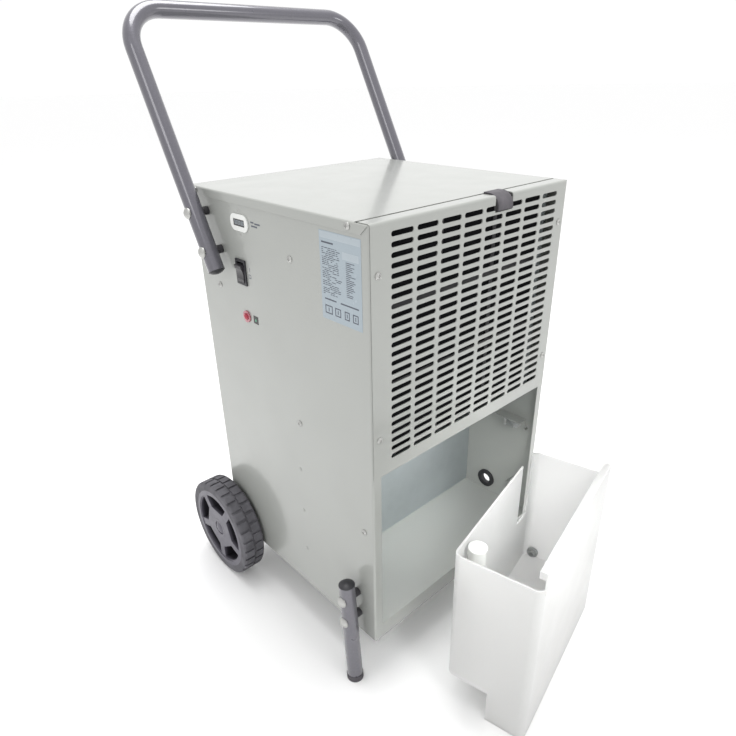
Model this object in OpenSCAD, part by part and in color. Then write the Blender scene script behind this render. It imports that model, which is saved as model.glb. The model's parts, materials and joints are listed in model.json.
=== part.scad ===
// Commercial dehumidifier on two wheels and two front legs, with a U-shaped push
// handle, a louvred intake with a pull-out air filter, and a lift-out water tank
// that stands on the floor in front of its compartment.
// Millimetres. +Z is up and the cabinet faces -Y. The origin is on the floor, at the
// middle of the whole machine's footprint with the tank standing out in front.

/* [Cabinet] */
// Width of the cabinet
cab_w = 400; // [396:1:404]
// Depth of the cabinet
cab_d = 400; // [398:1:404]
// Height of the cabinet body
cab_h = 643; // [640:1:650]
// Thickness of the sheet metal
sheet = 1.5; // [1.2:0.1:1.6]
// Height of the cabinet's underside above the floor
foot_h = 85; // [80:1:86]
// Distance of the cabinet's middle behind the origin
cab_y = 54; // [50:1:60]
// Width of the flanges folded in at the front and the rear
flange_w = 15; // [12:1:16]
// Outer radius of the folded corners
fold_r = 3; // [2:0.5:3.5]
// Height of the base above its lower edge
base_h = 28; // [24:1:29]
// How far the lid's flanges reach down the sides
lid_drop = 13; // [10:1:14]

/* [Grille] */
// Height of the grille panel's lower edge
grille_z = 303; // [300:1:304]
// Number of columns of slots
slot_columns = 8; // [6:1:8]
// Number of rows of slots
slot_rows = 25; // [20:1:25]
// Distance between columns of slots
slot_pitch_x = 43.3; // [42:0.1:44]
// Distance between rows of slots
slot_pitch_z = 12.5; // [11:0.1:12.5]
// Length of one slot
slot_l = 37; // [30:1:38]
// Height of one slot
slot_h = 6.6; // [5:0.1:8]
// Height of the lowest row of slots
slot_z0 = 327; // [325:1:330]
// Sideways offset of the slot field
slot_shift = 4.5; // [0:0.5:6]
// Depth of the grille panel's top flange
grille_flange = 20; // [18:1:20]

/* [Filter] */
// Width of the air filter
filter_w = 344; // [336:1:346]
// Thickness of the air filter's frame
filter_t = 3.2; // [2.8:0.1:3.4]
// Width of the air filter's pull tab
tab_w = 32; // [24:1:34]
// Sideways place of the pull tab
tab_x = 46; // [38:1:50]
// How far the pull tab stands in front of the grille
tab_reach = 3; // [2:0.5:5]

/* [Tank compartment] */
// Distance of the compartment's rear wall behind the cabinet's front
bay_d = 148; // [140:1:152]
// Height of the drain hose grommet
grommet_z = 55; // [50:1:60]
// Bore radius of the drain hose grommet
grommet_r = 10; // [8:0.5:11]

/* [Handle and legs] */
// Outer radius of the handle and leg tubes
tube_r = 12.5; // [11:0.5:12.5]
// Wall thickness of the tubes
tube_wall = 1.8; // [1.5:0.1:2.2]
// Distance of the tubes' axes from the middle of the cabinet
tube_x = 220.4; // [219:0.1:222]
// Angle by which the handle leans back
handle_lean = 28; // [24:0.5:30]
// Bend radius of the handle's corners
handle_bend = 60; // [50:1:70]
// Length of the handle's legs from the lower bolt to the grip's axis
handle_l = 367; // [340:1:380]
// Angle by which the front legs lean back from the floor
leg_lean = 3.6; // [0:0.1:4]
// Height of the front legs' upper end above the cabinet's underside
leg_top = 104; // [95:1:110]
// Radius of the bolts that hold the handle and the legs
bolt_r = 4; // [3:0.5:4]

/* [Wheels] */
// Outer radius of the tyres
wheel_r = 94; // [90:1:96]
// Width of the wheels
wheel_w = 42; // [38:1:44]
// Radius of the axle
axle_r = 6; // [5:0.5:6]
// Number of spokes in a wheel
spokes = 5; // [4:1:6]
// Number of tread blocks round a tyre
tread_blocks = 30; // [24:1:36]

/* [Water tank] */
// Width of the tank
tank_w = 302; // [290:1:306]
// Depth of the tank
tank_d = 127; // [120:1:130]
// Height of the tank
tank_h = 290; // [280:1:292]
// Height of the step under the tank's rear part
tank_step = 57; // [52:1:60]
// Depth of the tank's front part, which hangs before the cabinet
tank_front = 60; // [55:1:62]
// Wall thickness of the tank
tank_wall = 2.5; // [2:0.1:3]
// Height of the front lip above the tank's other walls
tank_lip = 27; // [18:1:30]
// Angle at which the tank stands on the floor
tank_turn = 12.5; // [0:0.5:15]

/* [Controls] */
// Width of the rocker switch
switch_w = 25; // [22:1:26]
// Height of the rocker switch
switch_h = 38; // [34:1:40]
// Radius of the indicator lamp's bezel
lamp_r = 9; // [7:0.5:10]

/* [Fan] */
// Radius of the fan blades
fan_r = 112; // [100:1:114]
// Number of fan blades
fan_blades = 5; // [4:1:7]
// Radius of the fan motor's shaft
shaft_r = 5; // [4:0.5:6]

/* [Hidden] */

$fn = 48;
eps = 0.1;      // gap between parts that lie face to face
gap = 0.3;      // gap between a flat panel and the folded corners beside it
over = 1;       // how far a cutting shape runs past what it cuts
fit = 0.05;     // radial clearance of a turning fit
loose = 0.25;   // radial clearance of a bolt or a fixed pin in its hole
elbow = 1;      // how much wider a pipe's soldered elbow is than the pipe

// Cabinet planes
side_x = cab_w / 2;
front_y = -cab_d / 2;
rear_y = cab_d / 2;
in_x = side_x - sheet;
in_y = rear_y - sheet;
deck_z = grille_z + sheet + eps;
bay_back = front_y + bay_d;
open_x = side_x - flange_w;
joggle_w = 22;
lid_lip = 1.2;
lid_front = front_y + grille_flange + 4;
grommet_y = front_y + 98;

// Filter planes
filter_y = front_y + grille_flange + 2;
filter_x = filter_w / 2;
filter_z0 = deck_z + 4;
filter_z1 = cab_h - 2;
frame_bar = 8;
tab_t = 2.2;
tab_top = cab_h + 2;
tab_front = front_y - tab_reach;
tab_end = cab_h - 20;
tab_bend = 18;

// Handle frame: its origin is the lower bolt's axis at the tube's axis
handle_y = 127.7;
handle_z = 557;
handle_bolts = [0, 60];
handle_tail = 30.5;

// Leg frame: its origin is the point where the leg's axis would meet the floor
leg_y = -171.7;
leg_bolts = [122.5, 163];
foot_t = 7;

// Wheel places
axle_y = 190;
axle_z = wheel_r - foot_h;
wheel_in = side_x + 5;
wheel_out = wheel_in + wheel_w;
rim_r = wheel_r - 16;
spoke_w = 15;
pocket = 22;

// Tank frame: its origin is on the floor under the middle of the tank
tank_x = 18;
tank_y = -324;
tank_flare = 5;
tank_corner = 12;
step_y = -tank_d / 2 + tank_front;
lip_t = 11;
cutout_x = 92;
cutout_w = 43;
cutout_z = 166;
float_x = -113;
float_y = 44.2;
float_r = 13.5;
float_z = 180;
float_h = 108;
collar_z = 232;
drain_y = 45;
drain_z = tank_step + 13.5;
drain_r = 10;
drain_bore = 4;

// Controls on the left panel: y and z of each middle
switch_at = [75.5, 532];
lamp_at = [74, 463];
symbol_at = [51, 463];
meter_at = [67, 605];
meter_window = [28, 10];
meter_bezel = [44, 24];
label_at = [-149.5, 569];
label_size = [75, 112];

// Screws: [y, z] on the side panels and [x, z] on the front
side_screws = [[-48, 575], [-42, 325], [-180, 205], [145, 497]];
lid_screws = [[-166, 637], [182, 637]];
front_screws = [[-187, 583], [187, 583], [-187, 362], [187, 362]];
rear_screws = [[-190, 600], [190, 600], [-190, 320], [190, 320], [-190, 60], [190, 60]];
screw_r = 2;
screw_head = 4.6;

// Tank switch
bracket_y = -177;
bracket_l = 52;
bracket_z = 222;
lever_x = 179;
lever_y = -146;
lever_z = bracket_z - sheet - 6.6;
pin_r = 1;

// Air path
fan_z = 473;
outlet_z0 = 360;
shroud_y = -20;
coil_x = 160;
coil_z0 = 330;
coil_z1 = 612;
evap_y = -148;
cond_y = -95;
coil_depth = 34;
coil_tube_r = 4.5;
fin_step = 16;
fin_t = 1.2;
motor_y = 28;
motor_l = 55;
motor_r = 44;
tray_y = [-158, -106];
spout_x = 40;
spout_r = 9;

// Compressor
comp_x = -68;
comp_y = 82;
comp_r = 60;
comp_z0 = 46;
comp_z1 = 214;
comp_foot_x = 62;
comp_foot_y = 50;
pipe_r = 5;

// Moves children from the cabinet's own frame to the machine's frame
module place() {
    translate([0, cab_y, foot_h]) children();
}

// Makes children on both sides of the middle plane
module both_sides() {
    for (side = [0, 1]) mirror([side, 0, 0]) children();
}

// Box between two corners
module slab(x0, x1, y0, y1, z0, z1) {
    translate([x0, y0, z0]) cube([x1 - x0, y1 - y0, z1 - z0]);
}

// Round bar along X, Y or Z
module bar_x(r, x0, x1, y, z) {
    translate([x0, y, z]) rotate([0, 90, 0]) cylinder(r = r, h = x1 - x0);
}

module bar_y(r, y0, y1, x, z) {
    translate([x, y0, z]) rotate([-90, 0, 0]) cylinder(r = r, h = y1 - y0);
}

module bar_z(r, z0, z1, x, y) {
    translate([x, y, z0]) cylinder(r = r, h = z1 - z0);
}

// Extrudes a (Y, Z) outline along X, or an (X, Z) outline along Y
module along_x(x0, x1) {
    translate([x0, 0, 0]) rotate([90, 0, 90]) linear_extrude(x1 - x0) children();
}

module along_y(y0, y1) {
    translate([0, y1, 0]) rotate([90, 0, 0]) linear_extrude(y1 - y0) children();
}

// Rectangle with round corners, centred
module round_rect(w, d, r) {
    square([w - 2 * r, d], center = true);
    square([w, d - 2 * r], center = true);
    for (sx = [-1, 1]) for (sy = [-1, 1])
        translate([sx * (w / 2 - r), sy * (d / 2 - r)]) circle(r);
}

// Slot with round ends, centred
module slot_2d(l, h) {
    square([l - h, h], center = true);
    for (s = [-1, 1]) translate([s * (l - h) / 2, 0]) circle(h / 2);
}

// Field of slots, from the lowest row up
module slot_field(columns, rows, z0, shift) {
    for (c = [0 : columns - 1]) for (r = [0 : rows - 1])
        translate([(c - (columns - 1) / 2) * slot_pitch_x + shift, z0 + r * slot_pitch_z])
            slot_2d(slot_l, slot_h);
}

// Round tube along a chain of points, with a ball at each bend
module tube_path(points, r) {
    for (i = [0 : len(points) - 2]) {
        step = points[i + 1] - points[i];
        translate(points[i])
            rotate([0, acos(step.z / norm(step)), atan2(step.y, step.x)])
                cylinder(r = r, h = norm(step));
        if (i > 0) translate(points[i]) sphere(r + elbow);
    }
}

// Pan head screw that points along -Z, its head's seat on the plane z = 0
module pan_screw(l) {
    difference() {
        intersection() {
            cylinder(r = screw_head, h = 3);
            translate([0, 0, -3.6]) sphere(6.4);
        }
        for (turn = [0, 90]) rotate(turn) translate([-2.4, -0.5, 1.8]) cube([4.8, 1, 2]);
    }
    translate([0, 0, -l]) cylinder(r = screw_r, h = l);
}

// ---------- Cabinet sheet metal ----------

// Plan of the cabinet wall, a closed ring with folded corners
module wall_ring() {
    difference() {
        round_rect(cab_w, cab_d, fold_r);
        round_rect(cab_w - 2 * sheet, cab_d - 2 * sheet, fold_r - sheet);
    }
}

// Left side panel without its holes: flanged below the grille, and above it with a
// set-back strip that the grille panel is screwed to
module side_blank() {
    side_top = cab_h - sheet - eps;
    linear_extrude(grille_z) intersection() {
        wall_ring();
        translate([-side_x, front_y]) square([flange_w, cab_d]);
    }
    translate([0, 0, grille_z]) linear_extrude(side_top - grille_z) {
        intersection() {
            wall_ring();
            translate([-side_x, front_y]) square([sheet, cab_d]);
        }
        intersection() {
            wall_ring();
            translate([-side_x, 0]) square([flange_w, rear_y]);
        }
    }
    translate([-in_x - eps, front_y + sheet, grille_z + sheet + gap])
        cube([joggle_w, sheet, cab_h - 5 - grille_z - sheet - gap]);
}

// Holes that both side panels have: handle, legs, axle and screws
module side_holes() {
    out = -side_x - over;
    in = -in_x + over;
    handle_frame() for (s = handle_bolts) bar_x(bolt_r + loose, out, in, 0, s);
    leg_frame() for (s = leg_bolts) bar_x(bolt_r + loose, out, in, 0, s);
    bar_x(axle_r + loose, out, in, axle_y, axle_z);
    for (p = concat(side_screws, lid_screws)) bar_x(screw_r + loose, out, in, p.x, p.y);
    for (p = rear_screws) if (p.x < 0)
        bar_y(screw_r + loose, in_y - over, rear_y + over, p.x, p.y);
}

module side_panel_left() {
    color("gainsboro") place() difference() {
        side_blank();
        side_holes();
        for (p = front_screws) if (p.x < 0)
            bar_y(screw_r + loose, front_y, front_y + 3 * sheet, p.x, p.y);
        slab(-side_x - over, -in_x + over, switch_at.x - switch_w / 2 + 2,
            switch_at.x + switch_w / 2 - 2, switch_at.y - switch_h / 2 + 2,
            switch_at.y + switch_h / 2 - 2);
        bar_x(lamp_r - 2, -side_x - over, -in_x + over, lamp_at.x, lamp_at.y);
        slab(-side_x - over, -in_x + over, meter_at.x - meter_window.x / 2 - 2,
            meter_at.x + meter_window.x / 2 + 2, meter_at.y - meter_window.y / 2 - 2,
            meter_at.y + meter_window.y / 2 + 2);
    }
}

module side_panel_right() {
    color("gainsboro") place() difference() {
        mirror([1, 0, 0]) side_blank();
        mirror([1, 0, 0]) side_holes();
        for (p = front_screws) if (p.x > 0)
            bar_y(screw_r + loose, front_y, front_y + 3 * sheet, p.x, p.y);
        bar_x(grommet_r + 4, in_x - over, side_x + over, grommet_y, grommet_z);
    }
}

// Tray turned upside down, with a front strip that fills between the side flanges
module base_pan() {
    x = in_x - gap;
    y0 = front_y + sheet + gap;
    y1 = in_y - gap;
    color("gainsboro") place() difference() {
        union() {
            slab(-x, x, y0, y1, 0, base_h);
            slab(-open_x + eps, open_x - eps, front_y, y0 + eps, 0, base_h);
        }
        slab(-x + sheet, x - sheet, y0 + sheet, y1 - sheet, -over, base_h - sheet);
        bar_x(axle_r + loose, -side_x, side_x, axle_y, axle_z);
    }
}

module rear_panel() {
    y0 = in_y - sheet - eps;
    color("gainsboro") place() difference() {
        slab(sheet + eps - in_x, in_x - sheet - eps, y0, y0 + sheet, base_h + eps,
            cab_h - sheet - eps);
        along_y(y0 - over, y0 + sheet + over) slot_field(6, 18, outlet_z0, 0);
        bar_y(8, y0 - over, y0 + sheet + over, -150, 70);
        for (p = rear_screws)
            bar_y(screw_r + loose, y0 - over, y0 + sheet + over, p.x, p.y);
    }
}

// Side view of the grille panel: front plate, folded top flange and lower return
module grille_profile() {
    r = 4;
    top = cab_h;
    translate([front_y, grille_z]) square([sheet, top - r - grille_z]);
    translate([front_y + r, top - sheet]) square([grille_flange - r, sheet]);
    translate([front_y, grille_z]) square([flange_w, sheet]);
    intersection() {
        translate([front_y + r, top - r]) difference() {
            circle(r);
            circle(r - sheet);
        }
        translate([front_y, top - r]) square(r);
    }
}

module front_grille_panel() {
    notch_x = tab_w / 2 + 3;
    color("whitesmoke") place() difference() {
        along_x(-in_x + gap, in_x - gap) grille_profile();
        along_y(front_y - over, front_y + sheet + over)
            slot_field(slot_columns, slot_rows, slot_z0, slot_shift);
        slab(tab_x - notch_x, tab_x + notch_x, front_y - over,
            front_y + grille_flange + over, cab_h - 22, cab_h + over);
        for (p = front_screws)
            bar_y(screw_r + loose, front_y - over, front_y + sheet + over, p.x, p.y);
    }
}

module top_cover() {
    out_x = side_x + lid_lip + eps;
    out_y = rear_y + lid_lip + eps;
    r = 3;
    color("white") place() difference() {
        along_y(front_y, out_y) {
            translate([-out_x, cab_h - lid_drop]) square([2 * out_x, lid_drop - r]);
            translate([r - out_x, cab_h - 2 * r]) square([2 * (out_x - r), 2 * r]);
            for (s = [-1, 1]) translate([s * (out_x - r), cab_h - r]) circle(r);
        }
        slab(-side_x - eps, side_x + eps, front_y - over, rear_y + eps,
            cab_h - lid_drop - over, cab_h - sheet);
        slab(-side_x - eps, side_x + eps, front_y - over, lid_front,
            cab_h - 2 * sheet, cab_h + over);
        both_sides() translate([side_x, front_y, cab_h])
            rotate([45, 0, 0]) translate([-over, -30, -30]) cube([5, 30, 60]);
        for (p = lid_screws) both_sides()
            bar_x(screw_r + loose, side_x - over, out_x + over, p.x, p.y);
    }
}

module compartment_back_wall() {
    color("lightsteelblue") place() {
        slab(-in_x + eps, in_x - eps, bay_back, bay_back + sheet, base_h + eps,
            deck_z - eps);
        slab(-in_x + eps, in_x - eps, bay_back + sheet, bay_back + 12, base_h + eps,
            base_h + sheet);
    }
}

module mid_deck() {
    color("lightsteelblue") place() difference() {
        slab(-in_x + eps, in_x - eps, front_y + flange_w + 2, in_y - 2 * sheet - eps,
            deck_z, deck_z + sheet);
        bar_z(spout_r + loose, deck_z - over, deck_z + sheet + over, spout_x, -132);
        for (x = [120, 140])
            bar_z(pipe_r + 3, deck_z - over, deck_z + sheet + over, x, 60);
    }
}

// ---------- Air filter ----------

module filter_guides() {
    play = 0.9;
    lip = 3;
    y0 = filter_y - filter_t / 2 - play;
    y1 = filter_y + filter_t / 2 + play;
    color("silver") place() both_sides() difference() {
        slab(filter_x - 6, filter_x + 4, y0 - lip, y1 + lip, filter_z0 - 2, filter_z1 - 4);
        slab(filter_x - 7, filter_x + 2, y0, y1, filter_z0 - 0.5, filter_z1);
    }
}

module filter_frame() {
    y0 = filter_y - filter_t / 2;
    y1 = filter_y + filter_t / 2;
    w = (filter_w - 4 * frame_bar) / 3;
    h = (filter_z1 - filter_z0 - 4 * frame_bar) / 3;
    color("dimgray") place() difference() {
        slab(-filter_x, filter_x, y0, y1, filter_z0, filter_z1);
        for (c = [0 : 2]) for (r = [0 : 2])
            translate([-filter_x + frame_bar + c * (w + frame_bar), y0 - over,
                filter_z0 + frame_bar + r * (h + frame_bar)])
                cube([w, filter_t + 2 * over, h]);
        slab(tab_x - tab_w / 2 - eps, tab_x + tab_w / 2 + eps, filter_y - tab_t / 2 - eps,
            y1 + over, filter_z1 - 6, filter_z1 + over);
    }
}

module filter_mesh() {
    t = 0.4;
    w = (filter_w - 4 * frame_bar) / 3;
    h = (filter_z1 - filter_z0 - 4 * frame_bar) / 3;
    color("black") place() for (c = [0 : 2]) for (r = [0 : 2])
        translate([-filter_x + frame_bar + c * (w + frame_bar), filter_y - t / 2,
            filter_z0 + frame_bar + r * (h + frame_bar)])
            cube([w, t, h]);
}

// Strip that rises from the filter, bends over the cabinet's front and hangs before it
module filter_pull_tab() {
    back = filter_y + tab_t / 2;
    color("dimgray") place() along_x(tab_x - tab_w / 2, tab_x + tab_w / 2) {
        translate([back - tab_t, filter_z1 - 6]) square([tab_t, tab_top - filter_z1 + 6]);
        translate([tab_front + tab_bend, tab_top - tab_t])
            square([back - tab_front - tab_bend, tab_t]);
        translate([tab_front, tab_end]) square([tab_t, tab_top - tab_bend - tab_end]);
        translate([tab_front + tab_bend, tab_top - tab_bend]) intersection() {
            difference() {
                circle(tab_bend);
                circle(tab_bend - tab_t);
            }
            translate([-tab_bend, 0]) square(tab_bend);
        }
    }
}

// ---------- Handle, legs and their fasteners ----------

module handle_frame() {
    translate([0, handle_y, handle_z]) rotate([-handle_lean, 0, 0]) children();
}

module leg_frame() {
    translate([0, leg_y, -foot_h]) rotate([-leg_lean, 0, 0]) children();
}

// U-shaped bar in the handle's plane
module handle_bar(r, tail) {
    straight = handle_l - handle_bend;
    both_sides() {
        bar_z(r, -tail, straight, -tube_x, 0);
        translate([-tube_x + handle_bend, 0, straight]) rotate([90, 0, 0]) rotate(90)
            rotate_extrude(angle = 90) translate([handle_bend, 0]) circle(r);
    }
    bar_x(r, -tube_x + handle_bend, tube_x - handle_bend, 0, handle_l);
}

module handle_tube() {
    color("slategray") place() handle_frame() difference() {
        handle_bar(tube_r, handle_tail);
        handle_bar(tube_r - tube_wall, handle_tail + over);
        for (s = handle_bolts) both_sides()
            bar_x(bolt_r + loose, -tube_x - tube_r - over, -tube_x + tube_r + over, 0, s);
    }
}

// Plug that closes a tube's end: its head lies on the plane z = 0 and its stem below
module tube_plug() {
    translate([0, 0, -12]) cylinder(r = tube_r - tube_wall - 0.05, h = 12);
    intersection() {
        cylinder(r = tube_r, h = 5);
        translate([0, 0, -14]) sphere(19);
    }
}

module tube_plugs() {
    color("black") place() both_sides() {
        handle_frame() translate([-tube_x, 0, -handle_tail - 0.05]) rotate([180, 0, 0])
            tube_plug();
        leg_frame() translate([-tube_x, 0, foot_h + leg_top + 0.05]) tube_plug();
    }
}

module front_legs() {
    color("slategray") place() both_sides() leg_frame() difference() {
        bar_z(tube_r, foot_t + 2, foot_h + leg_top, -tube_x, 0);
        bar_z(tube_r - tube_wall, foot_t, foot_h + leg_top + over, -tube_x, 0);
        for (s = leg_bolts)
            bar_x(bolt_r + loose, -tube_x - tube_r - over, -tube_x + tube_r + over, 0, s);
    }
}

module leg_feet() {
    color("black") place() both_sides() intersection() {
        leg_frame() {
            bar_z(tube_r + 0.8, -over, foot_t + 2, -tube_x, 0);
            bar_z(tube_r - tube_wall - 0.05, foot_t + 2, foot_t + 14, -tube_x, 0);
        }
        slab(-2 * side_x, 2 * side_x, front_y - 50, rear_y, -foot_h, 0);
    }
}

// One carriage bolt along X at the left, with its dome head outside the tube
module frame_bolt() {
    seat = -tube_x - tube_r + 1.5;
    bar_x(bolt_r, seat - 1, -in_x + 13, 0, 0);
    difference() {
        translate([seat, 0, 0]) rotate([0, -90, 0]) intersection() {
            cylinder(r = 8.5, h = 8);
            translate([0, 0, -4.2]) sphere(10.5);
        }
        translate([-tube_x, 0, 0]) cylinder(r = tube_r + 0.05, h = 40, center = true);
    }
}

// Places children at each bolt of the left-hand tubes
module at_bolts() {
    handle_frame() for (s = handle_bolts) translate([0, 0, s]) children();
    leg_frame() for (s = leg_bolts) translate([0, 0, s]) children();
}

module frame_bolts() {
    color("silver") place() both_sides() at_bolts() frame_bolt();
}

// Collar between a tube and the side panel, hollowed where it meets the tube
module frame_spacers() {
    color("black") place() both_sides() at_bolts() difference() {
        bar_x(6.5, -side_x - 11, -side_x - 0.02, 0, 0);
        translate([-tube_x, 0, 0]) cylinder(r = tube_r + 0.05, h = 40, center = true);
        bar_x(bolt_r + loose, -side_x - 12, -side_x + over, 0, 0);
    }
}

module frame_nuts() {
    color("silver") place() both_sides() at_bolts() difference() {
        union() {
            bar_x(8, -in_x + 0.02, -in_x + 1.6, 0, 0);
            translate([-in_x + 1.6, 0, 0]) rotate([0, 90, 0])
                cylinder(r = 7.5, h = 6.5, $fn = 6);
        }
        bar_x(bolt_r + fit, -side_x, -in_x + 10, 0, 0);
    }
}

// ---------- Wheels ----------

module axle() {
    color("silver") place() bar_x(axle_r, -wheel_out + 4, wheel_out - 4, axle_y, axle_z);
}

module axle_washers() {
    color("silver") place() both_sides() for (x = [side_x + 0.5, wheel_out - 10]) difference() {
        bar_x(axle_r + 5, -x - 2, -x, axle_y, axle_z);
        bar_x(axle_r + loose, -x - 3, -x + over, axle_y, axle_z);
    }
}

// Spoked wheel for the left side, its bore along X
module wheel_rim() {
    web = 3;
    color("slategray") place() translate([-wheel_in, axle_y, axle_z]) rotate([0, -90, 0])
        difference() {
            union() {
                difference() {
                    cylinder(r = rim_r, h = wheel_w);
                    translate([0, 0, -over])
                        cylinder(r = rim_r - 8, h = wheel_w - pocket - web + over);
                    translate([0, 0, wheel_w - 1.2]) cylinder(r = rim_r - 8, h = 4);
                }
                cylinder(r = 20, h = wheel_w - 1);
            }
            translate([0, 0, wheel_w - pocket]) linear_extrude(pocket + over) wheel_windows();
            translate([0, 0, -over]) cylinder(r = axle_r + fit, h = wheel_w + 2 * over);
            translate([0, 0, wheel_w - 10.5]) cylinder(r = 13.5, h = 12);
        }
}

// Pockets between the spokes, each with a straight inner side
module wheel_windows() {
    step = 360 / spokes;
    corner = 39 / cos(step / 2);
    difference() {
        circle(rim_r - 10.5);
        polygon([for (i = [0 : spokes - 1]) corner * [cos(180 + i * step), sin(180 + i * step)]]);
        for (i = [0 : spokes - 1]) rotate(180 + i * step)
            translate([0, -spoke_w / 2]) square([rim_r, spoke_w]);
    }
}

module wheel_rim_left() {
    wheel_rim();
}

module wheel_rim_right() {
    mirror([1, 0, 0]) wheel_rim();
}

// Tyre for the left side: a rounded ring cut into two staggered rows of blocks
module tyre() {
    shoulder = 5;
    tread = 2.5;
    groove = 5;
    color("dimgray") place() translate([-wheel_in, axle_y, axle_z]) rotate([0, -90, 0])
        difference() {
            rotate_extrude() difference() {
                union() {
                    translate([rim_r + 0.02, 0]) square([wheel_r - shoulder - rim_r, wheel_w]);
                    translate([rim_r + 0.02, shoulder])
                        square([wheel_r - rim_r - 0.02, wheel_w - 2 * shoulder]);
                    for (z = [shoulder, wheel_w - shoulder])
                        translate([wheel_r - shoulder, z]) circle(shoulder);
                }
                translate([wheel_r - tread, wheel_w / 2 - 1.5]) square([tread + over, 3]);
            }
            for (i = [0 : tread_blocks - 1]) for (row = [0, 1])
                rotate((i + row / 2) * 360 / tread_blocks)
                    translate([wheel_r - tread, -groove / 2, row * wheel_w / 2 - over])
                        cube([tread + over, groove, wheel_w / 2 + 2 * over]);
        }
}

module tyre_left() {
    tyre();
}

module tyre_right() {
    mirror([1, 0, 0]) tyre();
}

module hub_cap() {
    color("slategray") place() translate([-wheel_out + 3.9, axle_y, axle_z])
        rotate([0, -90, 0]) {
            intersection() {
                cylinder(r = 13.3, h = 5.4);
                translate([0, 0, -17]) sphere(22.4);
            }
        }
}

module hub_cap_left() {
    hub_cap();
}

module hub_cap_right() {
    mirror([1, 0, 0]) hub_cap();
}

// ---------- Water tank ----------

module tank_frame() {
    translate([tank_x, cab_y + tank_y, 0]) rotate(tank_turn) children();
}

// Rounded block with its right-hand end leaning in towards the top
module tank_block(inset, z0, z1) {
    w = tank_w - 2 * inset;
    d = tank_d - 2 * inset;
    r = tank_corner - inset;
    hull() {
        translate([tank_flare / 2, 0, z0]) linear_extrude(0.1)
            round_rect(w + tank_flare, d, r, $fn = 32);
        translate([-tank_flare / 2, 0, z1 - 0.1]) linear_extrude(0.1)
            round_rect(w - tank_flare, d, r, $fn = 32);
    }
}

// Side view of the tank, smaller all round by inset, with its stepped bottom
module tank_side(inset, top) {
    front = -tank_d / 2 + inset;
    back = tank_d / 2 - inset;
    polygon([
        [front, inset], [step_y - inset, inset], [step_y - inset, tank_step + inset],
        [back, tank_step + inset], [back, top], [front, top]
    ]);
}

module tank_shell() {
    half = tank_w / 2 + 2 * tank_flare;
    top = tank_h + tank_lip;
    front = -tank_d / 2;
    color("white") tank_frame() difference() {
        union() {
            intersection() {
                tank_block(0, 0, tank_h);
                along_x(-half, half) tank_side(0, tank_h);
            }
            along_x(-tank_w / 2 + 8, tank_w / 2 - 14) {
                translate([front, tank_h - 10]) square([tank_wall, tank_lip + 10]);
                translate([front, top - tank_wall]) square([lip_t, tank_wall]);
                translate([front + lip_t - tank_wall, top - 12]) square([tank_wall, 12]);
            }
            for (x = [-tank_w / 2 + 8, tank_w / 2 - 14 - tank_wall])
                slab(x, x + tank_wall, front, front + lip_t, top - 12, top);
        }
        intersection() {
            tank_block(tank_wall, 0, tank_h + 0.2);
            along_x(-half, half) tank_side(tank_wall, tank_h + over);
        }
        bar_x(drain_r - 4, tank_w / 2 - 12, tank_w / 2 + 12, drain_y, drain_z);
        slab(cutout_x, cutout_x + cutout_w, 0, tank_d, cutout_z, tank_h + over);
    }
}

// Bulkhead fitting in the tank's right-hand end wall, with a nut inside
module tank_drain_fitting() {
    wall = tank_w / 2 + tank_flare * (1 - 2 * drain_z / tank_h);
    seat = 0.5;
    color("silver") tank_frame() difference() {
        union() {
            bar_x(drain_r - 4.2, wall - 12, wall + 10, drain_y, drain_z);
            bar_x(drain_r, wall - tank_wall - seat - 4, wall - tank_wall - seat, drain_y,
                drain_z);
            bar_x(drain_r, wall + seat, wall + seat + 3, drain_y, drain_z);
        }
        bar_x(drain_bore, wall - 13, wall + 11, drain_y, drain_z);
    }
}

// Two collars on the tank's rear wall that the float slides through
module float_guide() {
    rear = tank_d / 2 - tank_wall - 0.05;
    collar_r = float_r + 3;
    left = float_x - collar_r;
    right = float_x + collar_r;
    color("whitesmoke") tank_frame() difference() {
        union() {
            for (z = [collar_z - 44, collar_z]) {
                slab(left, right, float_y, rear, z, z + 4);
                bar_z(collar_r, z, z + 4, float_x, float_y);
            }
            slab(left, right, rear - 2, rear, collar_z - 44, collar_z + 4);
        }
        bar_z(float_r + 0.5, collar_z - 50, collar_z + 10, float_x, float_y);
    }
}

module tank_float() {
    head = collar_z + 4.05;
    color("white") tank_frame() {
        bar_z(float_r, float_z, float_z + float_h - 6, float_x, float_y);
        bar_z(float_r + 3, head, head + 5, float_x, float_y);
        translate([float_x, float_y, float_z + float_h - 6]) intersection() {
            cylinder(r = float_r, h = 6);
            translate([0, 0, -14]) sphere(20);
        }
    }
}

// ---------- Tank compartment fittings ----------

module hose_grommet() {
    y = grommet_y;
    color("black") place() difference() {
        union() {
            bar_x(grommet_r + 8, in_x - 4, in_x - 0.05, y, grommet_z);
            bar_x(grommet_r + 3.8, in_x - 1, side_x + 1, y, grommet_z);
            bar_x(grommet_r + 7, side_x + 0.05, side_x + 3.5, y, grommet_z);
        }
        bar_x(grommet_r, in_x - 5, side_x + 5, y, grommet_z);
    }
}

module switch_bracket() {
    color("lightsteelblue") place() {
        slab(in_x - sheet - eps, in_x - eps, bracket_y, bracket_y + bracket_l,
            bracket_z - 14, bracket_z);
        slab(in_x - 22, in_x - sheet - eps, bracket_y, bracket_y + bracket_l,
            bracket_z - sheet, bracket_z);
    }
}

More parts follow.
